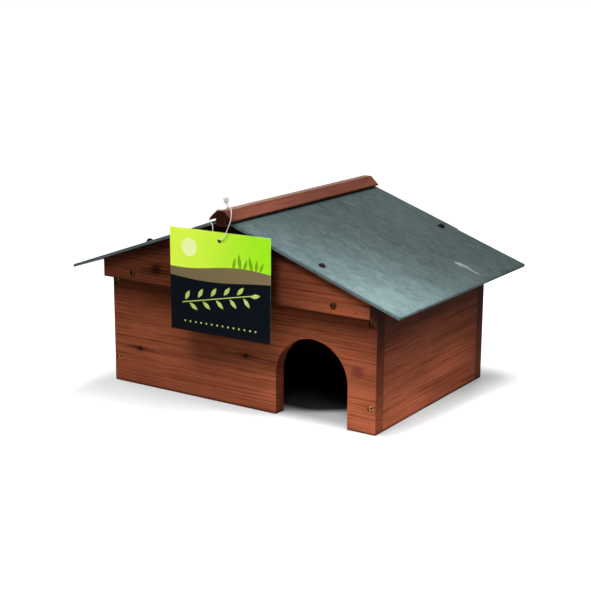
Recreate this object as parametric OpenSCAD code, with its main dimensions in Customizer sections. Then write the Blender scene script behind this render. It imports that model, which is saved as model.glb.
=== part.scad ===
// Hedgehog house: a floorless box of four boards under a slate roof, with a swing tag on the ridge.
// Millimetres, +Z up. The origin is on the ground, under the middle of the box, and the doorway faces -Y.

/* [Box] */
// Width of the box over the side walls
box_w = 450; // [380:5:560]
// Depth of the box over the front and back walls
box_d = 320; // [240:5:420]
// Height of the four walls
wall_h = 188; // [170:1:240]
// Thickness of the wall boards
board_t = 20; // [16:1:26]

/* [Doorway] */
// Width of the doorway
door_w = 115; // [90:1:140]
// Height of the doorway to the top of its arch
door_h = 117; // [95:1:135]
// Front wall that is left beside the doorway, at the right
door_side = 44; // [30:1:90]

/* [Gables] */
// Thickness of the gable boards
gable_t = 20; // [16:1:26]
// How far a gable hangs down over the wall behind it
gable_lap = 25; // [22:1:36]
// Slope of the roof, in degrees
roof_pitch = 19.6; // [15:0.1:28]
// Gap between the top of a wall and the slates, at the outer face of the side walls
eaves_gap = 1.6; // [0.4:0.2:6]
// Width of the flat on top of a gable, under the ridge piece
gable_flat_w = 36; // [24:1:60]

/* [Slates] */
// Thickness of a slate
slate_t = 4.5; // [4:0.5:8]
// Overhang of the slates past the side walls
eaves_over = 49; // [20:1:80]
// Overhang of the slates past the front gable
slate_front = 11; // [4:1:30]
// Overhang of the slates past the back gable
slate_rear = 16; // [4:1:30]
// Gap between a slate's upper edge and the stem of the ridge piece
slate_gap = 1; // [0.5:0.5:4]
// Depth of the dressed step in the right slate's rear edge
slate_step = 2; // [1:0.5:8]
// Level distance of that step from the middle of the roof
slate_step_x = 163; // [80:1:200]

/* [Ridge piece] */
// Overhang of the ridge piece past the slates, at the front
ridge_front = 5; // [5:1:20]
// Overhang of the ridge piece past the slates, at the rear
ridge_rear = 0; // [0:1:20]
// Width of the ridge piece over its two lips
ridge_w = 38; // [30:1:60]
// Width of the flat crown
crown_w = 12; // [10:1:16]
// Rise of the slanted sides, from the lips to the crown
crown_rise = 12; // [8:1:20]
// Thickness of a lip at its edge
lip_t = 2.5; // [1:0.5:5]
// Gap between the lips and the slates
lip_gap = 2.5; // [0.5:0.5:4]
// Width of the stem that stands on the gables
stem_w = 16; // [12:1:22]

/* [Wood screws] */
// Diameter of the shanks
screw_d = 4; // [3:0.5:5]
// Diameter of the countersunk heads
head_d = 8.4; // [7:0.2:9]
// Straight rim of a countersunk head
head_rim = 0.6; // [0.4:0.1:1.2]
// Diameter of the counterbores in the walls and gables
bore_d = 10; // [9.4:0.2:11]
// Depth of the head's top below the face of a wall or gable
head_sink = 2.5; // [1:0.5:5]
// Depth of the head's top below the crown of the ridge piece
crown_sink = 0.4; // [0.2:0.2:2]
// Play around a screw in its hole
screw_play = 0.1; // [0.05:0.05:0.3]
// Length of the screws through the walls
wall_screw_l = 50; // [35:1:70]
// Length of the screws through the ridge piece
ridge_screw_l = 50; // [35:1:60]
// Wood that is left past the tip of a gable screw
tip_cover = 2.5; // [1:0.5:6]
// Distance of the wall screws from the ends of the board
wall_screw_in = 8; // [6:0.5:10]
// Height of the lower wall screws
wall_screw_low = 36; // [15:1:60]
// Distance of the upper wall screws below the gable
wall_screw_drop = 11; // [8:1:30]
// Distance of the gable screws from the ends of the gable
gable_screw_in = 55; // [30:1:100]
// Height of the gable screws over the lower edge of the gable
gable_screw_up = 11; // [7:1:14]

/* [Pin holes] */
// Diameter of the small pin holes in the front wall and the front gable
pin_d = 2; // [1:0.5:3]
// Depth of the pin holes
pin_depth = 6; // [2:1:12]
// Distance of the pin hole in the wall from its right end
wall_pin_in = 10; // [6:0.5:30]
// Height of the pin hole in the wall
wall_pin_up = 16.5; // [8:0.5:25]
// Distance of the pin hole in the gable from its right end
gable_pin_in = 21; // [10:0.5:40]
// Height of the pin hole in the gable over its lower edge
gable_pin_up = 6.5; // [4:0.5:14]

/* [Slate screws] */
// Length of the screws through the slates
slate_screw_l = 30; // [20:1:40]
// Level distance of these screws from the middle of the roof
slate_screw_x = 144; // [80:1:170]
// Diameter of the domed heads
dome_d = 9; // [7:0.5:12]
// Height of the domed heads
dome_h = 3; // [2:0.25:4]
// Diameter of the washers under the heads
washer_d = 10.5; // [9:0.5:16]
// Thickness of the washers
washer_t = 1; // [0.5:0.25:2]
// Play around a screw in the slate
slate_play = 0.5; // [0.2:0.1:1]

/* [Swing tag] */
// Width of the tag
tag_w = 165; // [100:1:200]
// Height of the tag
tag_h = 145; // [80:1:180]
// Thickness of the card
tag_t = 0.8; // [0.4:0.1:1.2]
// Diameter of the hole for the string
tag_hole_d = 6; // [5:0.5:8]
// Distance of that hole below the top edge
tag_hole_drop = 12; // [8:1:20]
// Turn of the tag on its string, in degrees
tag_turn = 2; // [0:0.5:2.5]
// Diameter of the string
string_d = 1.6; // [1:0.1:1.8]
// Diameter of the knot
knot_d = 4.4; // [3:0.2:5]
// Length of the two cut ends of the string
tail_l = 12; // [6:1:16]

/* [Hidden] */
$fn = 48;

// Cut past a face, so that no skin is left on it
past = 1;
// Both signs, for what stands left and right or front and back
both = [-1, 1];

// Heights and places that follow from the sizes above
door_x = box_w / 2 - door_side - door_w / 2;
gable_z = wall_h - gable_lap;
gable_y = box_d / 2 + gable_t / 2;
eaves_z = wall_h + eaves_gap;
apex_z = eaves_z + box_w / 2 * tan(roof_pitch);
flat_z = apex_z - gable_flat_w / 2 * tan(roof_pitch);
slate_y0 = -box_d / 2 - gable_t - slate_front;
slate_y1 = box_d / 2 + gable_t + slate_rear;
ridge_y0 = slate_y0 - ridge_front;
ridge_y1 = slate_y1 + ridge_rear;
slate_top = apex_z + slate_t / cos(roof_pitch);
lip_z = slate_top + lip_gap - ridge_w / 2 * tan(roof_pitch);
neck_z = slate_top + lip_gap - stem_w / 2 * tan(roof_pitch);
crown_z = lip_z + lip_t + crown_rise;

// A countersunk head tapers at 45 degrees, and a shank ends in a point
head_h = head_rim + (head_d - screw_d) / 2;
head_seat_d = head_d + 2 * screw_play;
point_l = 2 * screw_d;
point_d = 0.4 * screw_d;
// The cross in a screw head
cross_l = 0.55 * head_d;
cross_w = 0.14 * head_d;
cross_h = 0.24 * head_d;
gable_screw_l = gable_t + board_t - head_sink - tip_cover;

// The string's course, measured from the middle of the crown at the front end of the ridge piece:
// from the knot over the crown and the left lip, down behind the tag, through its hole and up in front
string_route = [
    [8.2, 3, 4], [5, 3, 2.5], [2, 3, 1.5], [-1, 3, 1.2], [-4, 3, 1.3], [-7.5, 3, 0.5], [-11.5, 3, -3],
    [-15.5, 3, -6.8], [-19, 3, -10.2], [-21, 3, -13.5], [-20, 3, -17], [-17, 3, -20], [-15.5, 3, -24],
    [-15.5, 3, -28], [-15.3, 3, -31.5], [-13.3, 3, -35], [-9.5, 3, -37.8], [-6, 2.6, -39.3],
    [-3, 0.7, -39.7], [0, -1.2, -39.2], [3.5, -1.8, -37.5], [6.5, -1.8, -34.8], [9, -1.8, -31.2],
    [11, -1.8, -27], [13.2, -1.8, -22], [15.5, -1.8, -17], [17.5, -1.8, -12], [18.7, -1.6, -6.5],
    [18.8, -1, -1], [17.4, 0.2, 3.4], [14.8, 1.6, 6], [11.2, 2.8, 6.4],
];
string_sides = 8;
// Place of the tag's hole and of the knot, from the same point
tag_hole = [-3, 0.7, -41.5];
knot_at = [9.8, 3, 5.2];
// Lean of the two cut ends, to the left and to the rear
tail_leans = [[0, -27, 0], [-12, -14, 0]];

wood = [0.58, 0.30, 0.19];
wood_dark = [0.50, 0.25, 0.17];
slate_grey = [0.36, 0.41, 0.42];
yellow_zinc = [0.78, 0.62, 0.36];
black = [0.08, 0.09, 0.10];
card = [0.10, 0.14, 0.17];
cotton = [0.90, 0.87, 0.78];

// Screws and their holes point down, with the top of the head at the origin
module cross_recess() {
    for (turn = [0, 90])
        rotate([0, 0, turn])
            translate([-cross_l / 2, -cross_w / 2, -cross_h])
                cube([cross_l, cross_w, cross_h + past]);
}

// Half the outline of a pointed shank, from its tip up to top_z
function shank_outline(length, top_z) =
    [[0, -length], [point_d / 2, -length], [screw_d / 2, -length + point_l], [screw_d / 2, top_z]];

module wood_screw(length) {
    difference() {
        rotate_extrude() polygon(concat(
            shank_outline(length, -head_h),
            [[head_d / 2, -head_rim], [head_d / 2, 0], [0, 0]]
        ));
        cross_recess();
    }
}

module shank_hole(length, play) {
    translate([0, 0, -length - play]) cylinder(d = screw_d + 2 * play, h = length + play);
}

// The mouth is as wide as the seat of the head, or wider
module wood_screw_hole(length, sink, mouth_d) {
    shank_r = screw_d / 2 + screw_play;
    tip_z = -length - screw_play;
    rim_z = -head_rim - screw_play;
    ledge = mouth_d > head_seat_d ? [[head_seat_d / 2, rim_z]] : [];
    rotate_extrude() polygon(concat(
        [[0, tip_z], [shank_r, tip_z], [shank_r, -head_h - screw_play]],
        ledge,
        [[mouth_d / 2, rim_z], [mouth_d / 2, sink + past], [0, sink + past]]
    ));
}

// The domed screws have the underside of the head at the origin
module domed_screw(length) {
    dome_r = (dome_h * dome_h + dome_d * dome_d / 4) / (2 * dome_h);
    difference() {
        union() {
            intersection() {
                translate([0, 0, dome_h - dome_r]) sphere(r = dome_r);
                cylinder(d = dome_d, h = dome_h);
            }
            rotate_extrude() polygon(concat(shank_outline(length, 0), [[0, 0]]));
        }
        translate([0, 0, dome_h]) cross_recess();
    }
}

// Where the screws stand: their axes point out of the face that they go in through
module at_wall_screws() {
    for (side = both, z = [wall_screw_low, gable_z - wall_screw_drop])
        translate([side * (box_w / 2 - wall_screw_in), -box_d / 2, z]) rotate([90, 0, 0]) children();
}

module at_gable_screws() {
    for (side = both)
        translate([side * (box_w / 2 - gable_screw_in), -box_d / 2 - gable_t, gable_z + gable_screw_up])
            rotate([90, 0, 0]) children();
}

module at_ridge_screws() {
    for (end = both) translate([0, end * gable_y, crown_z]) children();
}

// The right slope: X runs down the underside of the slate, Z stands square to it
module on_right_slope() {
    translate([0, 0, apex_z]) rotate([0, roof_pitch, 0]) children();
}

module at_slate_screws() {
    on_right_slope()
        for (end = both) translate([slate_screw_x / cos(roof_pitch), end * gable_y, 0]) children();
}

module on_both_slopes() {
    children();
    mirror([1, 0, 0]) children();
}

module to_back() {
    mirror([0, 1, 0]) children();
}

module to_left() {
    mirror([1, 0, 0]) children();
}

// Holes for each family of screws, cut from every board that they reach
module wall_screw_holes() {
    at_wall_screws() translate([0, 0, -head_sink]) wood_screw_hole(wall_screw_l, head_sink, bore_d);
}

module gable_screw_holes() {
    at_gable_screws() translate([0, 0, -head_sink]) wood_screw_hole(gable_screw_l, head_sink, bore_d);
}

module ridge_screw_holes() {
    at_ridge_screws() translate([0, 0, -crown_sink])
        wood_screw_hole(ridge_screw_l, crown_sink, head_seat_d);
}

module slate_screw_holes(play) {
    at_slate_screws() translate([0, 0, slate_t + washer_t]) shank_hole(slate_screw_l, play);
}

module pin_hole(in, up, face_y) {
    translate([box_w / 2 - in, face_y - past, up])
        rotate([-90, 0, 0]) cylinder(d = pin_d, h = pin_depth + past);
}

// Boards
module end_board() {
    difference() {
        translate([-box_w / 2, -box_d / 2, 0]) cube([box_w, board_t, wall_h]);
        wall_screw_holes();
        gable_screw_holes();
    }
}

module doorway() {
    jamb_h = door_h - door_w / 2;
    translate([door_x - door_w / 2, -box_d / 2 - past, -past])
        cube([door_w, board_t + 2 * past, jamb_h + past]);
    translate([door_x, -box_d / 2 - past, jamb_h])
        rotate([-90, 0, 0]) cylinder(d = door_w, h = board_t + 2 * past);
}

module side_board() {
    difference() {
        translate([box_w / 2 - board_t, -box_d / 2 + board_t, 0])
            cube([board_t, box_d - 2 * board_t, wall_h]);
        wall_screw_holes();
        to_back() wall_screw_holes();
    }
}

module gable_board() {
    half_w = box_w / 2;
    half_flat = gable_flat_w / 2;
    outline = [
        [-half_w, gable_z], [half_w, gable_z], [half_w, eaves_z],
        [half_flat, flat_z], [-half_flat, flat_z], [-half_w, eaves_z],
    ];
    difference() {
        translate([0, -box_d / 2, 0]) rotate([90, 0, 0]) linear_extrude(gable_t) polygon(outline);
        gable_screw_holes();
        ridge_screw_holes();
        on_both_slopes() slate_screw_holes(screw_play);
    }
}

module front_wall() {
    color(wood) difference() {
        end_board();
        doorway();
        pin_hole(wall_pin_in, wall_pin_up, -box_d / 2);
    }
}

module back_wall() {
    color(wood) to_back() end_board();
}

module right_wall() {
    color(wood) side_board();
}

module left_wall() {
    color(wood) to_left() side_board();
}

module front_gable() {
    color(wood) difference() {
        gable_board();
        pin_hole(gable_pin_in, gable_z + gable_pin_up, -box_d / 2 - gable_t);
    }
}

module back_gable() {
    color(wood) to_back() gable_board();
}

// Roof
module slate() {
    upper = (stem_w / 2 + slate_gap) / cos(roof_pitch);
    lower = (box_w / 2 + eaves_over) / cos(roof_pitch);
    difference() {
        on_right_slope()
            translate([upper, slate_y0, 0]) cube([lower - upper, slate_y1 - slate_y0, slate_t]);
        slate_screw_holes(slate_play);
    }
}

module right_slate() {
    step_run = (box_w / 2 + eaves_over - slate_step_x) / cos(roof_pitch) + past;
    color(slate_grey) difference() {
        slate();
        on_right_slope()
            translate([slate_step_x / cos(roof_pitch), slate_y1 - slate_step, -past])
                cube([step_run, slate_step + past, slate_t + 2 * past]);
    }
}

module left_slate() {
    color(slate_grey) to_left() slate();
}

module ridge_cap() {
    half_crown = crown_w / 2;
    half_lip = ridge_w / 2;
    half_stem = stem_w / 2;
    right_side = [
        [half_crown, crown_z], [half_lip, lip_z + lip_t], [half_lip, lip_z],
        [half_stem, neck_z], [half_stem, flat_z],
    ];
    left_side = [for (i = [len(right_side) - 1:-1:0]) [-right_side[i].x, right_side[i].y]];
    color(wood_dark) difference() {
        translate([0, ridge_y1, 0]) rotate([90, 0, 0])
            linear_extrude(ridge_y1 - ridge_y0) polygon(concat(right_side, left_side));
        ridge_screw_holes();
    }
}

// Screws
module wall_screws() {
    at_wall_screws() translate([0, 0, -head_sink]) wood_screw(wall_screw_l);
}

module gable_screws() {
    at_gable_screws() translate([0, 0, -head_sink]) wood_screw(gable_screw_l);
}

module front_wall_screws() {
    color(yellow_zinc) wall_screws();
}

module back_wall_screws() {
    color(yellow_zinc) to_back() wall_screws();
}

module front_gable_screws() {
    color(yellow_zinc) gable_screws();
}

module back_gable_screws() {
    color(yellow_zinc) to_back() gable_screws();
}

module ridge_screws() {
    color(yellow_zinc) at_ridge_screws() translate([0, 0, -crown_sink]) wood_screw(ridge_screw_l);
}

module slate_screws() {
    at_slate_screws() translate([0, 0, slate_t + washer_t]) domed_screw(slate_screw_l);
}

module slate_washers() {
    at_slate_screws() translate([0, 0, slate_t]) difference() {
        cylinder(d = washer_d, h = washer_t);
        translate([0, 0, washer_t + past]) shank_hole(washer_t + 2 * past, screw_play);
    }
}

module right_slate_screws() {
    color(black) slate_screws();
}

module left_slate_screws() {
    color(black) to_left() slate_screws();
}

module right_slate_washers() {
    color(black) slate_washers();
}

module left_slate_washers() {
    color(black) to_left() slate_washers();
}

// The tag, its string and the knot hang from the front end of the ridge piece
module at_ridge_end() {
    translate([0, ridge_y0, crown_z]) children();
}

module swing_tag() {
    color(card) at_ridge_end() translate(tag_hole) rotate([0, 0, tag_turn]) difference() {
        translate([-tag_w / 2, -tag_t / 2, tag_hole_drop - tag_h]) cube([tag_w, tag_t, tag_h]);
        rotate([90, 0, 0]) cylinder(d = tag_hole_d, h = tag_t + 2 * past, center = true);
    }
}

function unit(v) = v / norm(v);

function heading(route, i) =
    unit(route[min(i + 1, len(route) - 1)] - route[max(i - 1, 0)]);

// One ring of a tube: points around a route point, square to its heading
function tube_ring(route, i, d, sides) =
    let (along = heading(route, i), across = unit(cross(along, [0, 1, 0])), over = cross(along, across))
    [for (k = [0:sides - 1])
        route[i] + d / 2 * (cos(360 * k / sides) * across + sin(360 * k / sides) * over)];

module tube(route, d, sides) {
    last = len(route) - 1;
    points = [for (i = [0:last]) each tube_ring(route, i, d, sides)];
    walls = [
        for (i = [0:last - 1], k = [0:sides - 1])
            let (a = i * sides + k, b = i * sides + (k + 1) % sides)
            each [[a, a + sides, b], [b, a + sides, b + sides]]
    ];
    first_cap = [for (k = [1:sides - 2]) [0, k, k + 1]];
    last_cap = [for (k = [1:sides - 2]) [last * sides, last * sides + k + 1, last * sides + k]];
    polyhedron(points, concat(walls, first_cap, last_cap));
}

module tag_string() {
    color(cotton) at_ridge_end() tube(string_route, string_d, string_sides);
}

module string_knot() {
    color(cotton) at_ridge_end() translate(knot_at) {
        sphere(d = knot_d);
        for (lean = tail_leans) rotate(lean) cylinder(d = string_d, h = tail_l);
    }
}

front_wall();
back_wall();
left_wall();
right_wall();
front_gable();
back_gable();
left_slate();
right_slate();
ridge_cap();
front_wall_screws();
back_wall_screws();
front_gable_screws();
back_gable_screws();
ridge_screws();
left_slate_screws();
right_slate_screws();
left_slate_washers();
right_slate_washers();
swing_tag();
tag_string();
string_knot();
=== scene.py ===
import math
import random

import bmesh
import bpy
from mathutils import Matrix, Vector, noise


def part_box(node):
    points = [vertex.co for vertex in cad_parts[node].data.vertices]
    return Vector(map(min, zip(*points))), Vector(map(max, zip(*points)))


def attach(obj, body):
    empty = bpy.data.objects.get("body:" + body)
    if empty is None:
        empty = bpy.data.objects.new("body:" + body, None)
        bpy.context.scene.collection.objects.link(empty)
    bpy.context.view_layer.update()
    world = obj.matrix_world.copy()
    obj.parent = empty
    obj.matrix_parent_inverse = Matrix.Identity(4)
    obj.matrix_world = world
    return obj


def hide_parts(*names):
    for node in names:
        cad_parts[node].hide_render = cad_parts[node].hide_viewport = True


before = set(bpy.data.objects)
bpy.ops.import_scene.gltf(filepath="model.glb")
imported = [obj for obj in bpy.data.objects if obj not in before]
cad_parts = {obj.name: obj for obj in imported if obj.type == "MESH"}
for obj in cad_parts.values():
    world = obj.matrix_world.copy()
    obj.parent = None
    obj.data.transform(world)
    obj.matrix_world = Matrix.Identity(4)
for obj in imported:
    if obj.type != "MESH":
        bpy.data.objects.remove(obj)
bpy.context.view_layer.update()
scene = bpy.context.scene
scene.view_settings.view_transform = "Standard"
print("frame: loaded", len(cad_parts), "nodes")

# Camera
view = {
    "lens": 80.617,  # millimetres, as the sensor
    "sensor": 36.0,
    "azimuth": 33.28,
    "elevation": 13.75,
    "roll": 0.33,
    "distance": 1.97776,
    "target": (-0.00745, 0.0, 0.12738),
}


def makeCamera():
    data = bpy.data.cameras.new("productCamera")
    data.lens = view["lens"]
    data.sensor_width = view["sensor"]
    camera = bpy.data.objects.new("productCamera", data)
    azimuth, elevation, roll = (math.radians(view[key]) for key in ("azimuth", "elevation", "roll"))
    back = Vector((math.sin(azimuth) * math.cos(elevation),
                   -math.cos(azimuth) * math.cos(elevation), math.sin(elevation)))
    right = Vector((math.cos(azimuth), math.sin(azimuth), 0.0))
    up = back.cross(right)
    side = right * math.cos(roll) + up * math.sin(roll)
    top = up * math.cos(roll) - right * math.sin(roll)
    turn = Matrix((side, top, back)).transposed().to_4x4()
    camera.matrix_world = Matrix.Translation(Vector(view["target"]) + back * view["distance"]) @ turn
    scene.collection.objects.link(camera)
    scene.camera = camera


makeCamera()
print("camera: set")


# Pieces in general
millimetre = 0.001
mergeDistance = 2e-6


def addPiece(name, mesh, body, slotName, *nodes):
    piece = bpy.data.objects.new(name, mesh)
    scene.collection.objects.link(piece)
    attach(piece, body)
    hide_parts(*nodes)
    return piece


def mergedNode(node):
    bm = bmesh.new()
    bm.from_mesh(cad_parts[node].data)
    bmesh.ops.remove_doubles(bm, verts=bm.verts, dist=mergeDistance)
    return bm


def appliedMesh(holder):
    bpy.context.view_layer.update()
    depsgraph = bpy.context.evaluated_depsgraph_get()
    mesh = bpy.data.meshes.new_from_object(holder.evaluated_get(depsgraph))
    bpy.data.objects.remove(holder)
    return mesh


def finishMesh(bm, name, sharpAngle):
    mesh = bpy.data.meshes.new(name)
    bmesh.ops.recalc_face_normals(bm, faces=bm.faces)
    bm.to_mesh(mesh)
    bm.free()
    mesh.shade_smooth()
    mesh.set_sharp_from_angle(angle=math.radians(sharpAngle))
    return mesh


# String, knot and cut ends of the swing tag
ridgeLow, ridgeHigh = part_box("ridge_cap")
crownFront = Vector(((ridgeLow.x + ridgeHigh.x) / 2, ridgeLow.y, ridgeHigh.z))
stringSettings = {
    "diameter": 0.0016,
    "plies": 3,
    "groove": 0.24,  # depth of the grooves between the plies, as a share of the radius
    "pitch": 0.0042,
    "sides": 18,
    "steps": 10,
    "smoothUnder": 50,  # degrees
    "route": [  # millimetres from the middle of the crown at the ridge piece's front end
        (8.2, 3, 4), (5, 3, 2.5), (2, 3, 1.5), (-1, 3, 1.2), (-4, 3, 1.3), (-7.5, 3, 0.5), (-11.5, 3, -3),
        (-15.5, 3, -6.8), (-19, 3, -10.2), (-21, 3, -13.5), (-20, 3, -17), (-17, 3, -20), (-15.5, 3, -24),
        (-15.5, 3, -28), (-15.3, 3, -31.5), (-13.3, 3, -35), (-9.5, 3, -37.8), (-6, 2.6, -39.3),
        (-3, 0.7, -39.7), (0, -1.2, -39.2), (3.5, -1.8, -37.5), (6.5, -1.8, -34.8), (9, -1.8, -31.2),
        (11, -1.8, -27), (13.2, -1.8, -22), (15.5, -1.8, -17), (17.5, -1.8, -12), (18.7, -1.6, -6.5),
        (18.8, -1, -1), (17.4, 0.2, 3.4), (14.8, 1.6, 6), (11.2, 2.8, 6.4),
    ],
}
knotSettings = {
    "place": (9.8, 3, 5.2),  # millimetres, as in the string's route
    "seed": 5,
    "loopPoints": 60,
    "size": 0.00052,
    "strand": 0.00074,
    "tails": [(-0.454, 0.0, 0.891), (-0.237, 0.208, 0.949)],
    "tailLength": 0.0102,
    "tailBow": 0.0012,
    "fibres": 90,
    "fibreRoots": 0.0004,  # how far they start from the middle of the strand
    "fibreLength": 0.0064,
    "fibreSpread": 0.42,
    "fibreRadius": 0.00017,
}


def smoothLine(points, steps):
    line = []
    for index in range(len(points) - 1):
        a, b = points[index], points[index + 1]
        before = points[index - 1] if index else a * 2 - b
        after = points[index + 2] if index + 2 < len(points) else b * 2 - a
        for step in range(steps):
            t = step / steps
            line.append(0.5 * (2 * a + (b - before) * t + (2 * before - 5 * a + 4 * b - after) * t ** 2
                               + (3 * a - before - 3 * b + after) * t ** 3))
    return line + [points[-1]]


def tubeMesh(line, radius, pitch, plies, sides, closed=False):
    section = bpy.data.curves.new("section", "CURVE")
    ring = section.splines.new("POLY")
    ring.points.add(sides - 1)
    ring.use_cyclic_u = True
    for index, point in enumerate(ring.points):
        angle = 2 * math.pi * index / sides
        groove = stringSettings["groove"] if plies else 0.0
        reach = radius * (1 - groove * (1 - abs(math.cos(plies * angle / 2))))
        point.co = (reach * math.cos(angle), reach * math.sin(angle), 0.0, 1.0)
    sectionPiece = bpy.data.objects.new("section", section)
    course = bpy.data.curves.new("course", "CURVE")
    course.dimensions = "3D"
    course.bevel_mode = "OBJECT"
    course.bevel_object = sectionPiece
    course.use_fill_caps = not closed
    spline = course.splines.new("POLY")
    spline.points.add(len(line) - 1)
    spline.use_cyclic_u = closed
    run = 0.0
    for index, (point, place) in enumerate(zip(spline.points, line)):
        run += (place - line[index - 1]).length if index else 0.0
        point.co = (*place, 1.0)
        point.tilt = 2 * math.pi * run / pitch if pitch else 0.0
    coursePiece = bpy.data.objects.new("course", course)
    scene.collection.objects.link(sectionPiece)
    scene.collection.objects.link(coursePiece)
    mesh = appliedMesh(coursePiece)
    bpy.data.objects.remove(sectionPiece)
    bpy.data.curves.remove(course)
    bpy.data.curves.remove(section)
    return mesh


def joinMeshes(name, meshes):
    bm = bmesh.new()
    for mesh in meshes:
        bm.from_mesh(mesh)
        bpy.data.meshes.remove(mesh)
    bmesh.ops.remove_doubles(bm, verts=bm.verts, dist=mergeDistance)  # the caps join their tubes
    return finishMesh(bm, name, stringSettings["smoothUnder"])


def makeString():
    settings = stringSettings
    points = [crownFront + Vector(place) * millimetre for place in settings["route"]]
    line = smoothLine(points, settings["steps"])
    tube = tubeMesh(line, settings["diameter"] / 2, settings["pitch"], settings["plies"],
                    settings["sides"])
    piece = addPiece("tagCord", joinMeshes("tagCord", [tube]), "tag", "tag_cord", "tag_string")
    return piece, line


def makeKnot():
    settings = knotSettings
    chance = random.Random(settings["seed"])
    centre = crownFront + Vector(settings["place"]) * millimetre
    loop = []
    for index in range(settings["loopPoints"]):  # an overhand knot drawn tight
        t = 2 * math.pi * index / settings["loopPoints"]
        loop.append(centre + settings["size"] * Vector((math.sin(t) + 2 * math.sin(2 * t),
                                                        1.5 * math.sin(3 * t),
                                                        math.cos(t) - 2 * math.cos(2 * t))))
    meshes = [tubeMesh(loop, settings["strand"], 0.0, 0, 12, closed=True)]
    for number, lean in enumerate(settings["tails"]):
        heading = Vector(lean).normalized()
        bow = Vector((settings["tailBow"] * (1 - 2 * number), 0.0, 0.0))
        points = [centre + heading * settings["tailLength"] * part + bow * math.sin(math.pi * part)
                  for part in (0.0, 0.25, 0.5, 0.75, 1.0)]
        meshes.append(tubeMesh(smoothLine(points, 6), settings["strand"], stringSettings["pitch"],
                               stringSettings["plies"], 15))
        for fibre in range(settings["fibres"]):
            spread = Vector((chance.uniform(-1, 1), chance.uniform(-1, 1), chance.uniform(-0.2, 0.3)))
            root = centre + heading * settings["tailLength"] * chance.uniform(0.3, 0.95)
            root += spread * settings["fibreRoots"]
            long = settings["fibreLength"] * chance.uniform(0.6, 1.0)
            fan = spread * settings["fibreSpread"]
            hair = [root + (heading * part + fan * part ** 2) * long for part in (0.0, 0.35, 0.7, 1.0)]
            meshes.append(tubeMesh(smoothLine(hair, 3), settings["fibreRadius"], 0.0, 0, 5))
    return addPiece("tagKnot", joinMeshes("tagKnot", meshes), "tag", "tag_cord", "string_knot")


tagCord, cordLine = makeString()
tagKnot = makeKnot()

# Boards: merged copies of the CAD nodes with eased edges
boardSettings = {
    "front_wall": ("frontWall", "stained_wood", 0.0008),
    "back_wall": ("backWall", "stained_wood", 0.0008),
    "left_wall": ("leftWall", "stained_wood", 0.0008),
    "right_wall": ("rightWall", "stained_wood", 0.0008),
    "front_gable": ("frontGable", "stained_wood", 0.0008),
    "back_gable": ("backGable", "stained_wood", 0.0008),
    "ridge_cap": ("ridgeCap", "ridge_wood", 0.0009),
}
doorArch = {"x": 0.1235, "z": 0.0595, "radius": 0.0575}
easing = {
    "flat": math.radians(0.4),  # faces that turn less than this are one face
    "corner": 0.9,  # radians; blunter edges stay as they are
    "shortest": 0.011,
    "segments": 3,
    "smoothUnder": 32,  # degrees
}


def onArch(edge):
    middle = (edge.verts[0].co + edge.verts[1].co) / 2
    reach = math.hypot(middle.x - doorArch["x"], middle.z - doorArch["z"])
    return middle.z > doorArch["z"] and abs(reach - doorArch["radius"]) < millimetre


def easedCopy(node, name, radius):
    bm = mergedNode(node)
    bmesh.ops.dissolve_limit(bm, angle_limit=easing["flat"], verts=bm.verts, edges=bm.edges)
    edges = [edge for edge in bm.edges
             if edge.is_manifold and edge.is_convex and edge.calc_face_angle() > easing["corner"]
             and (edge.calc_length() > easing["shortest"] or (node == "front_wall" and onArch(edge)))]
    bmesh.ops.bevel(bm, geom=edges, offset=radius, offset_type="OFFSET", segments=easing["segments"],
                    profile=0.5, affect="EDGES", material=-1, clamp_overlap=False)
    holder = bpy.data.objects.new(name, finishMesh(bm, name, easing["smoothUnder"]))
    scene.collection.objects.link(holder)
    weighted = holder.modifiers.new("weighted", "WEIGHTED_NORMAL")  # flat faces stay flat to the edge
    weighted.mode = "FACE_AREA"
    weighted.keep_sharp = True
    return appliedMesh(holder)


boards = {}
for node, (name, slotName, radius) in boardSettings.items():
    boards[node] = addPiece(name, easedCopy(node, name, radius), "house", slotName, node)
print("boards: made", len(boards))

# Fixings: merged copies of the CAD nodes with smooth curves
fixingSlots = {"slate_screws": "black_screw", "slate_washers": "black_washer", "_screws": "yellow_screw"}


def smoothCopy(node, name):
    return finishMesh(mergedNode(node), name, easing["smoothUnder"])


fixings = {}
for node in list(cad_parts):
    for ending, slotName in fixingSlots.items():
        if node.endswith(ending) and node not in fixings:
            words = node.split("_")
            name = words[0] + "".join(word.capitalize() for word in words[1:])
            fixings[node] = addPiece(name, smoothCopy(node, name), "house", slotName, node)
print("fixings: made", len(fixings))

# Slates: riven top, dressed and chipped edges
slateSettings = {
    "pitch": math.radians(19.6),
    "cells": (104, 140),
    "rim": 0.0016,
    "cleft": 0.00028,
    "chip": 0.0042,
    "edgeRough": 0.0004,
    "rimDrop": 0.0003,
    "rimRough": 0.0006,
    "holeRadius": 0.0024,
    "holeSides": 24,
    "drillLength": 0.03,
    "brokenPart": 0.7,  # share of the rim that looks freshly broken
    "smoothUnder": 30,  # degrees
    "stepFrom": 0.163,  # x from which the right slate's rear edge is set back
    "step": 0.0034,
}


def unitNoise(*place):
    return 0.5 + 0.5 * noise.noise(Vector(place))


def edgeLoss(along, seed):
    chip = max(0.0, noise.noise(Vector((along * 60, seed, 5.0))) - 0.4)
    return slateSettings["edgeRough"] * unitNoise(along * 170, seed, 0.0) + slateSettings["chip"] * chip


def cleftDepth(run, y, seed):
    broad = unitNoise(run * 7, y * 16, seed)
    border = noise.noise(Vector((run * 5, y * 13, seed + 4.0)))
    flake = min(1.0, max(0.0, (border - 0.02) / 0.06))
    fine = unitNoise(run * 60, y * 120, seed + 9.0)
    return slateSettings["cleft"] * (0.5 * broad + 0.8 * flake + 0.16 * fine)


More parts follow.
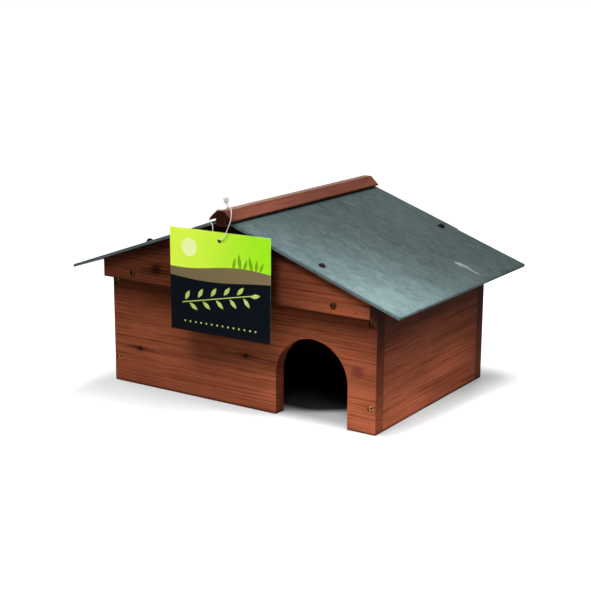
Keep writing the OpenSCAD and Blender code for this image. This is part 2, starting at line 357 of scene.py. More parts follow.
def makeSlate(name, node, washers, side, seed):
    settings = slateSettings
    down = Vector((side * math.cos(settings["pitch"]), 0.0, -math.sin(settings["pitch"])))
    out = Vector((side * math.sin(settings["pitch"]), 0.0, math.cos(settings["pitch"])))
    cad = [vertex.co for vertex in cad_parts[node].data.vertices]
    run0, run1 = min(co.dot(down) for co in cad), max(co.dot(down) for co in cad)
    under, top = min(co.dot(out) for co in cad), max(co.dot(out) for co in cad)
    y0, y1 = min(co.y for co in cad), max(co.y for co in cad)
    countRun, countY = settings["cells"]

    def spread(part, count, length):
        step = part * count
        if step <= 1:
            return step * settings["rim"]
        if step >= count - 1:
            return length - (count - step) * settings["rim"]
        return settings["rim"] + (step - 1) / (count - 2) * (length - 2 * settings["rim"])

    def rearEdge(run):
        x = (down * run + out * top).x
        return y1 - settings["step"] * (side > 0 and x > settings["stepFrom"])

    def onSlate(vertex):
        run = run0 + spread(vertex.co.x + 0.5, countRun, run1 - run0)
        return run, y0 + spread(vertex.co.y + 0.5, countY, rearEdge(run) - y0)

    bm = bmesh.new()
    bmesh.ops.create_grid(bm, x_segments=countRun, y_segments=countY, size=0.5)
    border = 0.4999  # past this a vertex of the grid lies on its edge
    placed = {}
    for vertex in list(bm.verts):
        run, y = onSlate(vertex)
        height = top - cleftDepth(run, y, seed)
        if vertex.co.x > border:
            run -= edgeLoss(y, seed + 1)
        if vertex.co.x < -border:
            run += edgeLoss(y, seed + 2)
        if vertex.co.y > border:
            y -= edgeLoss(run, seed + 3)
        if vertex.co.y < -border:
            y += edgeLoss(run, seed + 6)
        if max(abs(vertex.co.x), abs(vertex.co.y)) > border:
            height -= settings["rimDrop"] + settings["rimRough"] * unitNoise(run * 90, y * 90, seed)
        placed[vertex] = (run, y, height)
    made = bmesh.ops.extrude_face_region(bm, geom=bm.faces[:])["geom"]
    for vertex in (item for item in made if isinstance(item, bmesh.types.BMVert)):
        placed[vertex] = (*onSlate(vertex), under)
    for vertex, (run, y, height) in placed.items():
        vertex.co = down * run + Vector((0.0, y, 0.0)) + out * height
    mesh = finishMesh(bm, name, settings["smoothUnder"])

    heads = [vertex.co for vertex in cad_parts[washers].data.vertices]
    bm = bmesh.new()
    for group in ([co for co in heads if co.y < 0], [co for co in heads if co.y > 0]):
        low = Vector(min(co[axis] for co in group) for axis in range(3))
        high = Vector(max(co[axis] for co in group) for axis in range(3))
        turn = Matrix.Translation((low + high) / 2) @ out.to_track_quat("Z", "Y").to_matrix().to_4x4()
        bmesh.ops.create_cone(bm, cap_ends=True, segments=settings["holeSides"],
                              radius1=settings["holeRadius"], radius2=settings["holeRadius"],
                              depth=settings["drillLength"], matrix=turn)
    drill = bpy.data.objects.new("slateDrill", finishMesh(bm, "slateDrill", settings["smoothUnder"]))
    blank = bpy.data.objects.new("slateBlank", mesh)
    scene.collection.objects.link(drill)
    scene.collection.objects.link(blank)
    holes = blank.modifiers.new("holes", "BOOLEAN")
    holes.object = drill
    mesh = appliedMesh(blank)
    mesh.name = name
    bpy.data.objects.remove(drill)

    broken = mesh.attributes.new("edgeBreak", "FLOAT", "POINT")
    for vertex, mark in zip(mesh.vertices, broken.data):
        run, y = vertex.co.dot(down), vertex.co.y
        inside = min(run - run0, run1 - run, y - y0, rearEdge(run) - y)
        mark.value = 1.0 if inside < settings["brokenPart"] * settings["rim"] else 0.0
    return addPiece(name, mesh, "house", "slate", node)


rightSlate = makeSlate("rightSlate", "right_slate", "right_slate_washers", 1, 3.7)
leftSlate = makeSlate("leftSlate", "left_slate", "left_slate_washers", -1, 21.3)
print("slates: made")


# Shader helpers
def colour(red, green, blue):
    parts = [value / 255 for value in (red, green, blue)]
    return (*(p / 12.92 if p <= 0.04045 else ((p + 0.055) / 1.055) ** 2.4 for p in parts), 1.0)


def plug(tree, socket, value):
    if isinstance(value, bpy.types.NodeSocket):
        tree.links.new(value, socket)
    else:
        socket.default_value = value


def addNode(tree, kind, values=None, **settings):
    made = tree.nodes.new("ShaderNode" + kind)
    for key, value in settings.items():
        setattr(made, key, value)
    for key, value in (values or {}).items():
        plug(tree, made.inputs[key], value)
    return made


def maths(tree, operation, *values, clamp=False):
    made = addNode(tree, "Math", dict(enumerate(values)), operation=operation, use_clamp=clamp)
    return made.outputs[0]


def ease(tree, value, low, high, start=0.0, end=1.0):
    made = addNode(tree, "MapRange", {"Value": value, "From Min": low, "From Max": high, "To Min": start,
                                      "To Max": end}, interpolation_type="SMOOTHSTEP")
    return made.outputs["Result"]


def mixColour(tree, factor, first, second, blend="MIX"):
    made = addNode(tree, "Mix", {0: factor, 6: first, 7: second}, data_type="RGBA", blend_type=blend)
    return made.outputs[2]


def vectorMaths(tree, operation, *values):
    made = addNode(tree, "VectorMath", dict(enumerate(values)), operation=operation)
    return made.outputs["Value" if operation in ("LENGTH", "DISTANCE", "DOT_PRODUCT") else "Vector"]


def splitAxes(tree, vector):
    return addNode(tree, "SeparateXYZ", {0: vector}).outputs


def tinted(tree, base, tone):
    grey = addNode(tree, "CombineColor", {0: tone, 1: tone, 2: tone}).outputs[0]
    return mixColour(tree, 1.0, base, grey, "MULTIPLY")


def openness(tree, distance, samples=6):
    return addNode(tree, "AmbientOcclusion", {"Distance": distance}, samples=samples).outputs["AO"]


def addBump(tree, surface, height, strength, distance):
    bump = addNode(tree, "Bump", {"Height": height, "Strength": strength, "Distance": distance})
    plug(tree, surface["Normal"], bump.outputs[0])


def stretchedNoise(tree, vector, scale, detail=3.0, rough=0.5, distortion=0.0):
    spread = addNode(tree, "Mapping", {"Vector": vector, "Scale": scale})
    made = addNode(tree, "TexNoise", {"Vector": spread.outputs[0], "Scale": 1.0, "Detail": detail,
                                      "Roughness": rough, "Distortion": distortion})
    return made.outputs["Fac"]


def shaderGroup(name, inputs, outputs):
    tree = bpy.data.node_groups.new(name, "ShaderNodeTree")
    for label, kind, value in inputs:
        socket = tree.interface.new_socket(label, in_out="INPUT", socket_type="NodeSocket" + kind)
        socket.default_value = value
    for label, kind in outputs:
        tree.interface.new_socket(label, in_out="OUTPUT", socket_type="NodeSocket" + kind)
    return tree, tree.nodes.new("NodeGroupInput").outputs, tree.nodes.new("NodeGroupOutput").inputs


def addGroup(tree, group, values):
    made = tree.nodes.new("ShaderNodeGroup")
    made.node_tree = group
    for key, value in values.items():
        plug(tree, made.inputs[key], value)
    return made.outputs


def newMaterial(name):
    material = bpy.data.materials.new(name)
    material.use_nodes = True
    return material, material.node_tree, material.node_tree.nodes["Principled BSDF"].inputs


def dress(piece, material):
    piece.data.materials.clear()
    piece.data.materials.append(material)


# Shared effects
def buildBoardGrain():
    tree, given, result = shaderGroup(
        "boardGrain",
        [("Vector", "Vector", (0, 0, 0)), ("Seed", "Vector", (0, 0, 0)), ("Heart", "Vector", (0, 0, 0)),
         ("Spacing", "Float", 0.004), ("Wander", "Float", 0.006), ("Bend", "Float", 0.0)],
        [("Late", "Float"), ("Streak", "Float"), ("Fibre", "Float"), ("Tone", "Float"),
         ("Flush", "Float")])
    place = vectorMaths(tree, "ADD", given["Vector"], given["Seed"])
    offset = vectorMaths(tree, "SUBTRACT", given["Vector"], given["Heart"])
    radius = vectorMaths(tree, "LENGTH", vectorMaths(tree, "MULTIPLY", offset, (0, 1, 1)))
    drift = maths(tree, "SUBTRACT", stretchedNoise(tree, place, (1.5, 7, 7), 2.0), 0.5)
    ripple = maths(tree, "SUBTRACT", stretchedNoise(tree, place, (9, 42, 42), 2.0), 0.5)
    radius = maths(tree, "MULTIPLY_ADD", drift, maths(tree, "MULTIPLY", given["Wander"], 2.0), radius)
    radius = maths(tree, "MULTIPLY_ADD", ripple, 0.0018, radius)
    radius = maths(tree, "ADD", radius, given["Bend"])
    uneven = addNode(tree, "TexNoise", {"W": maths(tree, "MULTIPLY", radius, 70.0), "Scale": 1.0,
                                        "Detail": 1.0}, noise_dimensions="1D").outputs["Fac"]
    radius = maths(tree, "MULTIPLY_ADD", uneven, 0.006, radius)
    phase = maths(tree, "DIVIDE", radius, given["Spacing"])
    part = maths(tree, "FRACT", phase)
    rise = ease(tree, part, 0.15, 0.8)
    fall = ease(tree, part, 0.84, 1.0, 1.0, 0.0)
    year = maths(tree, "FLOOR", phase)
    ring = addNode(tree, "TexWhiteNoise", {"W": year}, noise_dimensions="1D").outputs["Value"]
    strength = maths(tree, "MULTIPLY_ADD", ring, 0.65, 0.35)
    patch = ease(tree, stretchedNoise(tree, place, (3.5, 6, 6), 2.0), 0.36, 0.64, 0.35, 1.0)
    strength = maths(tree, "MULTIPLY", strength, patch)
    plug(tree, result["Late"], maths(tree, "MULTIPLY", maths(tree, "MULTIPLY", rise, fall), strength))
    plug(tree, result["Streak"], stretchedNoise(tree, place, (6, 230, 230), 4.0, 0.74))
    plug(tree, result["Fibre"], stretchedNoise(tree, place, (35, 900, 900), 3.0, 0.6))
    plug(tree, result["Tone"], stretchedNoise(tree, place, (5, 17, 17), 4.0, 0.55))
    plug(tree, result["Flush"], stretchedNoise(tree, place, (8, 27, 27), 3.0))
    return tree


def buildKnotMark():
    tree, given, result = shaderGroup(
        "knotMark",
        [("Vector", "Vector", (0, 0, 0)), ("Place", "Vector", (0, 0, 0)), ("Radius", "Float", 0.004)],
        [("Bend", "Float"), ("Core", "Float"), ("Halo", "Float")])
    offset = vectorMaths(tree, "SUBTRACT", given["Vector"], given["Place"])
    flat = vectorMaths(tree, "LENGTH", vectorMaths(tree, "MULTIPLY", offset, (0.75, 0, 1)))
    long = vectorMaths(tree, "LENGTH", vectorMaths(tree, "MULTIPLY", offset, (0.3, 0, 1)))
    wobble = maths(tree, "SUBTRACT", stretchedNoise(tree, given["Vector"], (190, 190, 190), 3.0), 0.5)
    reach = maths(tree, "DIVIDE", flat, given["Radius"])
    reach = maths(tree, "MULTIPLY_ADD", wobble, 0.7, reach)
    stretch = maths(tree, "DIVIDE", long, given["Radius"])
    fade = maths(tree, "EXPONENT", maths(tree, "MULTIPLY", maths(tree, "POWER", stretch, 2.0), -0.3))
    bend = maths(tree, "MULTIPLY", given["Radius"], 0.9)
    plug(tree, result["Bend"], maths(tree, "MULTIPLY", fade, bend))
    plug(tree, result["Core"], ease(tree, reach, 0.35, 1.3, 1.0, 0.0))
    plug(tree, result["Halo"], maths(tree, "MULTIPLY", fade, ease(tree, stretch, 0.4, 2.6, 1.0, 0.0)))
    return tree


def buildEdgeRub():
    tree, given, result = shaderGroup(
        "edgeRub", [("Vector", "Vector", (0, 0, 0)), ("Radius", "Float", 0.0015)], [("Mask", "Float")])
    rounded = addNode(tree, "Bevel", {"Radius": given["Radius"]}, samples=6).outputs[0]
    straight = addNode(tree, "NewGeometry").outputs["True Normal"]
    turned = ease(tree, vectorMaths(tree, "DOT_PRODUCT", rounded, straight), 0.985, 0.8)
    patch = ease(tree, stretchedNoise(tree, given["Vector"], (60, 60, 60), 4.0), 0.38, 0.62)
    plug(tree, result["Mask"], maths(tree, "MULTIPLY", turned, patch))
    return tree


def buildLeafPrint():
    tree, given, result = shaderGroup(
        "leafPrint",
        [("Vector", "Vector", (0, 0, 0)), ("Place", "Vector", (0, 0, 0)), ("Turn", "Float", 0.0),
         ("Length", "Float", 12.0), ("Width", "Float", 4.0)],
        [("Mask", "Float")])
    turned = addNode(tree, "VectorRotate", {"Vector": given["Vector"], "Center": given["Place"],
                                            "Angle": given["Turn"]}, rotation_type="Y_AXIS").outputs[0]
    parts = splitAxes(tree, vectorMaths(tree, "SUBTRACT", turned, given["Place"]))
    along = maths(tree, "DIVIDE", parts["X"], maths(tree, "MULTIPLY", given["Length"], 0.5))
    swell = maths(tree, "SUBTRACT", 1.0, maths(tree, "POWER", maths(tree, "ABSOLUTE", along), 1.6))
    side = maths(tree, "ABSOLUTE", parts["Z"])
    swell = maths(tree, "MULTIPLY", swell, maths(tree, "MULTIPLY", given["Width"], 0.5))
    room = maths(tree, "SUBTRACT", swell, side)
    body = ease(tree, room, 0.0, 0.35)
    rib = ease(tree, side, 0.2, 0.45, 0.45, 1.0)
    plug(tree, result["Mask"], maths(tree, "MULTIPLY", body, rib))
    return tree


boardGrain = buildBoardGrain()
knotMark = buildKnotMark()
edgeRub = buildEdgeRub()
leafPrint = buildLeafPrint()
print("shader groups: made")

# Wood
redStain = {"early": colour(146, 78, 51), "late": colour(70, 27, 13), "flush": colour(92, 42, 34),
            "end": colour(52, 19, 8), "knot": colour(32, 14, 8), "rub": colour(158, 102, 76)}
# the pink stain's rub colour also serves as the painted highlight on the ridge piece's crown
pinkStain = {"early": colour(148, 88, 70), "late": colour(94, 49, 36), "flush": colour(104, 53, 45),
             "end": colour(42, 18, 12), "knot": colour(34, 15, 10), "rub": colour(144, 122, 115)}
woodSettings = {  # places as (along the grain, through the board, up) in metres; the tone ramp is painted shade and light on the walls, darker under the eaves and lighter at the foot, and on the gables and the ridge piece it only makes one side or end darker
    "front_wall": {"stain": redStain, "soak": ((0, 0, 1), 0.05, 0.166, 1.18, 0.66),
                   "turn": 0.0, "seed": (0.0, 0.0, 0.0), "heart": (0.0, -0.1, 0.24),
                   "spacing": 0.0042, "wander": 0.007,
                   "knots": [((-0.176, 0.0, 0.056), 0.0046), ((0.0155, 0.0, 0.076), 0.004)],
                   "bruises": [((0.1965, 0.0, 0.083), 0.009)]},
    "back_wall": {"stain": redStain, "soak": ((0, 0, 1), 0.05, 0.166, 1.18, 0.66),
                  "turn": 0.0, "seed": (2.3, 0.4, 0.7), "heart": (0.0, 0.22, -0.05),
                  "spacing": 0.0044, "wander": 0.008,
                  "knots": [((0.11, 0.0, 0.12), 0.004)], "bruises": []},
    "left_wall": {"stain": redStain, "soak": ((0, 0, 1), 0.03, 0.165, 1.3, 0.3),
                  "turn": -math.pi / 2, "seed": (4.1, 0.2, 0.3), "heart": (0.0, 0.3, 0.27),
                  "spacing": 0.0045, "wander": 0.007,
                  "knots": [((-0.04, 0.0, 0.1), 0.0035)], "bruises": []},
    "right_wall": {"stain": redStain, "soak": ((-0.15, 0, 1), 0.0, 0.165, 1.45, 0.3),
                   "turn": -math.pi / 2, "seed": (6.7, 0.6, 0.1), "heart": (0.0, -0.3, -0.06),
                   "spacing": 0.0046, "wander": 0.007, "knots": [], "bruises": []},
    "front_gable": {"stain": redStain, "soak": ((1, 0, 0), 0.06, 0.2, 0.42, 1.15),
                    "turn": 0.0, "seed": (8.9, 0.1, 0.9), "heart": (0.0, -0.1, 0.06),
                    "spacing": 0.0048, "wander": 0.009,
                    "knots": [((-0.127, 0.0, 0.185), 0.008)], "bruises": []},
    "back_gable": {"stain": redStain, "soak": ((1, 0, 0), -0.06, 0.12, 0.8, 0.95),
                   "turn": 0.0, "seed": (11.2, 0.8, 0.5), "heart": (0.0, 0.24, 0.08),
                   "spacing": 0.0046, "wander": 0.009, "knots": [], "bruises": []},
    "ridge_cap": {"stain": pinkStain, "soak": ((1, 0, 0), -0.196, -0.18, 0.6, 1.0),
                  "turn": -math.pi / 2, "seed": (13.6, 0.3, 0.2), "heart": (0.0, 0.03, 0.22),
                  "spacing": 0.0036, "wander": 0.006, "knots": [], "bruises": []},
}
woodFinish = {
    "rubWidth": 0.0012,
    "rub": 0.3,  # strength of the rubbed edges
    # reaches of the painted shade in holes and joints, and under the eaves
    "holeReach": 0.004,
    "eavesReach": 0.03,
    "specular": 0.015,
    "bump": (0.45, 0.0003),  # strength and depth
}


def woodMaterial(name, wood):
    stain = wood["stain"]
    material, tree, surface = newMaterial(name)
    where = addNode(tree, "TexCoord").outputs
    turn = (0.0, 0.0, wood["turn"])
    place = addNode(tree, "Mapping", {"Vector": where["Object"], "Rotation": turn}).outputs[0]
    facing = addNode(tree, "Mapping", {"Vector": where["Normal"], "Rotation": turn},
                     vector_type="NORMAL").outputs[0]
    faces = splitAxes(tree, facing)
    high = splitAxes(tree, place)["Z"]
    bend, core, halo, bruise = 0.0, 0.0, 0.0, 0.0
    for knotPlace, knotRadius in wood["knots"]:
        mark = addGroup(tree, knotMark, {"Vector": place, "Place": knotPlace, "Radius": knotRadius})
        bend = maths(tree, "ADD", mark["Bend"], bend)
        core = maths(tree, "MAXIMUM", mark["Core"], core)
        halo = maths(tree, "MAXIMUM", mark["Halo"], halo)
    for bruisePlace, bruiseRadius in wood["bruises"]:
        mark = addGroup(tree, knotMark, {"Vector": place, "Place": bruisePlace, "Radius": bruiseRadius})
        bruise = maths(tree, "MAXIMUM", mark["Core"], bruise)
    grain = addGroup(tree, boardGrain, {"Vector": place, "Seed": wood["seed"], "Heart": wood["heart"],
                                        "Spacing": wood["spacing"], "Wander": wood["wander"],
                                        "Bend": bend})
    dark = maths(tree, "MULTIPLY_ADD", grain["Late"], 0.5, 0.1)
    dark = maths(tree, "MULTIPLY_ADD", maths(tree, "SUBTRACT", grain["Streak"], 0.5), 2.2, dark)
    dark = maths(tree, "MULTIPLY_ADD", maths(tree, "SUBTRACT", grain["Fibre"], 0.5), 0.8, dark)
    dark = maths(tree, "MULTIPLY_ADD", halo, 0.4, dark, clamp=True)
    base = mixColour(tree, dark, stain["early"], stain["late"])
    base = tinted(tree, base, ease(tree, grain["Tone"], 0.3, 0.7, 0.76, 1.12))
    flush = ease(tree, grain["Flush"], 0.55, 0.75, 0.0, 0.4)
    flush = maths(tree, "MAXIMUM", flush, maths(tree, "MULTIPLY", bruise, 0.75))
    base = mixColour(tree, flush, base, stain["flush"])
    base = mixColour(tree, maths(tree, "MULTIPLY", core, 0.85), base, stain["knot"])
    if stain is pinkStain:
        crownHighlight = ease(tree, faces["Z"], 0.86, 0.97, 0.0, 0.5)
        base = mixColour(tree, crownHighlight, base, stain["rub"])  # painted highlight: the faces turned up on the crown are paler
    # end grain takes more stain; towards the top it is painted darker still, as shade under the eaves
    endGrainAndShade = ease(tree, maths(tree, "ABSOLUTE", faces["X"]), 0.6, 0.9)
    endGrainAndShade = maths(tree, "MULTIPLY", endGrainAndShade, ease(tree, high, 0.0, 0.14, 0.45, 0.95))
    base = mixColour(tree, endGrainAndShade, base, stain["end"])
    # tone ramp: painted shade and light on the walls, darker under the eaves and lighter at the foot; on
    # the gables darker to one side, on the ridge piece darker at its front end
    heading, start, stop, toneLow, toneHigh = wood["soak"]
    along = vectorMaths(tree, "DOT_PRODUCT", place, heading)
    base = tinted(tree, base, ease(tree, along, start, stop, toneLow, toneHigh))
    rub = addGroup(tree, edgeRub, {"Vector": where["Object"], "Radius": woodFinish["rubWidth"]})["Mask"]
    base = mixColour(tree, maths(tree, "MULTIPLY", rub, woodFinish["rub"]), base, stain["rub"])
    holeShade = ease(tree, openness(tree, woodFinish["holeReach"]), 0.15, 0.75, 0.9, 0.0)
    base = mixColour(tree, holeShade, base, stain["knot"])  # painted shade in holes, recesses and joints
    eavesShade = ease(tree, openness(tree, woodFinish["eavesReach"]), 0.4, 0.92, 0.6, 0.0)
    eavesShade = maths(tree, "MULTIPLY", eavesShade, ease(tree, high, 0.06, 0.12))
    base = mixColour(tree, eavesShade, base, stain["knot"])  # painted shade under the eaves
    footDark = ease(tree, high, 0.0012, 0.0038, 0.75, 0.0)
    base = mixColour(tree, footDark, base, stain["knot"])  # the foot of each board is darker
    plug(tree, surface["Base Color"], base)
    plug(tree, surface["Roughness"], ease(tree, grain["Fibre"], 0.25, 0.75, 0.44, 0.62))
    surface["Specular IOR Level"].default_value = woodFinish["specular"]
    fibres = maths(tree, "MULTIPLY", grain["Fibre"], 0.5)
    addBump(tree, surface, maths(tree, "MULTIPLY_ADD", grain["Late"], -0.6, fibres), *woodFinish["bump"])
    return material


for node, wood in woodSettings.items():
    dress(boards[node], woodMaterial(boards[node].name + "Wood", wood))
print("wood: dressed")

# Slate
slateLook = {
    "dark": colour(46, 58, 58),
    "mid": colour(75, 90, 91),
    "pale": colour(137, 151, 151),
    "edge": colour(76, 86, 87),
    "lip": colour(16, 18, 18),  # in the shade of the ridge piece's lips
    "scuff": colour(184, 192, 190),  # a pale scrape that runs down the right slate
    "scuffFrom": (0.218, 0.0672),
    "scuffTo": 0.268,
    "scuffWidth": 0.0066,
    "scuffStray": 0.02,
    "bump": (0.6, 0.0007),  # strength and depth
}


def slateMaterial():
    look = slateLook
    material, tree, surface = newMaterial("rivenSlate")
    place = addNode(tree, "TexCoord").outputs["Object"]
    parts = splitAxes(tree, place)
    cloud = stretchedNoise(tree, place, (7, 10, 7), 4.0)
    broad = stretchedNoise(tree, place, (13, 46, 22), 5.0, 0.6, 1.4)
    mottle = stretchedNoise(tree, place, (46, 70, 60), 6.0, 0.72, 0.8)
    fine = stretchedNoise(tree, place, (34, 300, 90), 5.0, 0.65)
    grit = stretchedNoise(tree, place, (700, 900, 700), 2.0)
    shade = maths(tree, "SUBTRACT", broad, 1.78)
    for layer, share in ((cloud, 1.1), (mottle, 2.3), (fine, 0.3), (grit, 0.2)):
        shade = maths(tree, "MULTIPLY_ADD", layer, share, shade)
    base = mixColour(tree, shade, look["dark"], look["mid"])
    flake = ease(tree, stretchedNoise(tree, place, (38, 64, 50), 6.0, 0.7, 0.8), 0.54, 0.66)
    lower = ease(tree, maths(tree, "ABSOLUTE", parts["X"]), 0.08, 0.2, 0.12, 0.5)
    flake = maths(tree, "MULTIPLY", flake, lower)
    base = mixColour(tree, flake, base, look["dark"])  # lost flakes show darker towards the eaves
    fleck = stretchedNoise(tree, place, (42, 230, 110), 5.0, 0.65, 0.3)
    base = mixColour(tree, ease(tree, fleck, 0.58, 0.72, 0.0, 0.26), base, look["pale"])
    speck = stretchedNoise(tree, place, (160, 420, 260), 3.0, 0.6)
    base = mixColour(tree, ease(tree, speck, 0.66, 0.76, 0.0, 0.3), base, look["pale"])
    edge = addNode(tree, "Attribute", attribute_name="edgeBreak").outputs["Fac"]
    edge = maths(tree, "MULTIPLY", ease(tree, edge, 0.2, 0.8), ease(tree, fine, 0.35, 0.65, 0.15, 0.6))
    base = mixColour(tree, edge, base, look["edge"])
    start, line = look["scuffFrom"]
    window = maths(tree, "MULTIPLY", ease(tree, parts["X"], start, start + 0.008),
                   ease(tree, parts["X"], look["scuffTo"] - 0.02, look["scuffTo"], 1.0, 0.0))
    stray = maths(tree, "SUBTRACT", stretchedNoise(tree, place, (60, 60, 60), 3.0), 0.5)
    aside = maths(tree, "SUBTRACT", parts["Y"], line)
    aside = maths(tree, "ABSOLUTE", maths(tree, "MULTIPLY_ADD", stray, look["scuffStray"], aside))
    scuff = maths(tree, "MULTIPLY", window, ease(tree, aside, 0.0, look["scuffWidth"], 1.0, 0.0))
    torn = stretchedNoise(tree, place, (120, 700, 300), 5.0, 0.7)
    scuff = maths(tree, "MULTIPLY", scuff, ease(tree, torn, 0.38, 0.62, 0.1, 1.0))
    base = mixColour(tree, scuff, base, look["scuff"])
    base = mixColour(tree, ease(tree, openness(tree, 0.012), 0.15, 0.75, 0.85, 0.0), base, look["lip"])
    plug(tree, surface["Base Color"], base)
    plug(tree, surface["Roughness"], ease(tree, fine, 0.3, 0.7, 0.5, 0.68))
    surface["Specular IOR Level"].default_value = 0.12
    height = maths(tree, "MULTIPLY", grit, 0.12)
    height = maths(tree, "MULTIPLY_ADD", fine, 0.16, height)
    addBump(tree, surface, maths(tree, "MULTIPLY_ADD", mottle, 1.1, height), *look["bump"])
    return material


rivenSlate = slateMaterial()
dress(rightSlate, rivenSlate)
dress(leftSlate, rivenSlate)
print("slate: dressed")

# Screws and washers
# the dark colour is painted shade on the screw heads
screwLook = {"bright": colour(255, 196, 122), "dull": colour(196, 120, 58), "dirt": colour(24, 10, 4)}


def yellowScrewMaterial():
    material, tree, surface = newMaterial("yellowPassivated")
    place = addNode(tree, "TexCoord").outputs["Object"]
    patch = stretchedNoise(tree, place, (420, 420, 420), 4.0)
    base = mixColour(tree, ease(tree, patch, 0.3, 0.7), screwLook["dull"], screwLook["bright"])
    high = splitAxes(tree, place)["Z"]
    upperShade = maths(tree, "MULTIPLY", ease(tree, high, 0.08, 0.15, 0.0, 0.92),
                    ease(tree, high, 0.2, 0.24, 1.0, 0.0))  # painted shade on the upper heads
    # painted shade in the recess around each head
    dirt = ease(tree, openness(tree, 0.008, 8), 0.48, 0.92, 1.0, 0.1)
    base = mixColour(tree, maths(tree, "MAXIMUM", dirt, upperShade), base, screwLook["dirt"])
    plug(tree, surface["Base Color"], base)
    surface["Metallic"].default_value = 0.95
    plug(tree, surface["Roughness"], ease(tree, patch, 0.3, 0.7, 0.4, 0.26))
    return material


def blackScrewMaterial():
    material, tree, surface = newMaterial("blackSemiGloss")
    place = addNode(tree, "TexCoord").outputs["Object"]
    patch = stretchedNoise(tree, place, (350, 350, 350), 4.0)
    plug(tree, surface["Base Color"], mixColour(tree, patch, colour(4, 4, 5), colour(12, 12, 13)))
    plug(tree, surface["Roughness"], ease(tree, patch, 0.3, 0.7, 0.42, 0.6))
    surface["Specular IOR Level"].default_value = 0.06
    return material


def washerMaterial():
    material, tree, surface = newMaterial("blackRubber")
    place = addNode(tree, "TexCoord").outputs["Object"]
    patch = stretchedNoise(tree, place, (900, 900, 900), 3.0)
    plug(tree, surface["Base Color"], mixColour(tree, patch, colour(6, 6, 6), colour(15, 15, 15)))
    plug(tree, surface["Roughness"], ease(tree, patch, 0.3, 0.7, 0.7, 0.9))
    surface["Specular IOR Level"].default_value = 0.15
    addBump(tree, surface, patch, 0.3, 0.0002)
    return material


yellowPassivated = yellowScrewMaterial()
blackSemiGloss = blackScrewMaterial()
blackRubber = washerMaterial()
for node, piece in fixings.items():
    if node.endswith("slate_screws"):
        dress(piece, blackSemiGloss)
    elif node.endswith("_screws"):
        dress(piece, yellowPassivated)
    else:
        dress(piece, blackRubber)
print("fixings: dressed")

# Swing tag: a plain leaf and hill print
tagLook = {
    "hole": (-3.0, 0.7, -41.5),  # millimetres from the middle of the crown, as in the string's route
    "turn": math.radians(2.0),
    "leftGreen": colour(226, 255, 76),
    "rightGreen": colour(152, 224, 29),
    "sun": colour(250, 255, 190),
    "blade": colour(88, 128, 22),
    "tan": colour(118, 104, 72),
    "navy": colour(3, 9, 16),
    "leaf": colour(206, 222, 120),
    "card": (colour(232, 229, 220), colour(214, 209, 198)),
    "sunPlace": (-50.0, 0.0, -14.0),
    "blades": [  # across, up, angle, length and width of each
        (24, -30, 78, 22, 5), (33, -27, 96, 28, 5.5), (42, -30, 70, 21, 4.6), (51, -28, 104, 26, 5.4),
        (60, -29, 84, 20, 4.6), (68, -30, 66, 17, 4.2),
    ],
    "sprig": [
        (-54, -82, 62), (-44, -97, -34), (-32, -77, 58), (-22, -93, -38), (-10, -73, 54), (0, -89, -42),
        (12, -69, 50), (22, -85, -46), (34, -66, 46), (44, -81, -50), (58, -70, 12),
    ],
    "sprigLeaf": (17.0, 6.2),
    "dotGap": 9.0,
    "dotLine": -119.0,
    "dotsReach": 62.0,
}


